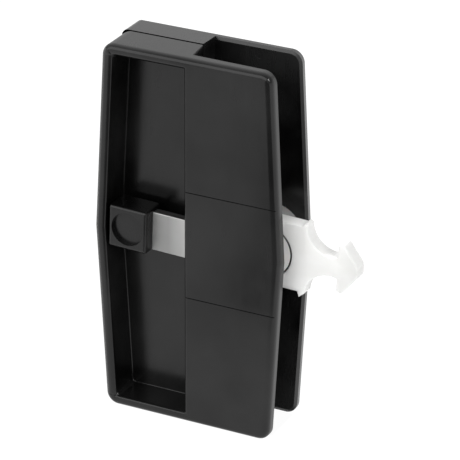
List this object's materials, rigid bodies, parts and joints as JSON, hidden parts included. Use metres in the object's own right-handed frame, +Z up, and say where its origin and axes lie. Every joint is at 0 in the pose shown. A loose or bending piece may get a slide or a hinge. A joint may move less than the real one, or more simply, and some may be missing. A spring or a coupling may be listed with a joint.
{
  "type": "sliding screen door latch and pull",
  "caption": "Six-sided black latch and pull that straddles a sliding screen door's stile, with a finger pocket on each side and a white double-barbed hook lever worked by a thumb button.",
  "frame": {"origin": "middle of the channel where the door stile seats: on the stile's centre plane, at the channel's floor, at mid-height", "axes": "+X across the door towards the jamb, the way the hook points; +Y from the room side outwards; +Z up"},
  "size_m": [0.0839, 0.0243, 0.12],
  "materials": {
    "black_housing": "semi-gloss moulded black",
    "white_lever": "satin moulded white nylon",
    "white_hub": "satin moulded white nylon",
    "black_button": "semi-gloss moulded black",
    "screw_steel": "black-coated steel"
  },
  "bodies": {
    "housing": {"inside_housing": "black_housing", "outside_housing": "black_housing", "pivot_hub": "white_hub", "upper_screw": "screw_steel", "lower_screw": "screw_steel"},
    "lever": {"latch_lever": "white_lever", "thumb_button": "black_button"}
  },
  "joints": [
    {"name": "lever_pivot", "type": "hinge", "parent": "housing", "child": "lever", "pos_m": [0.0227, -0.0015, 0], "axis": [0, 1, 0], "range_deg": [-14, 10]}
  ]
}
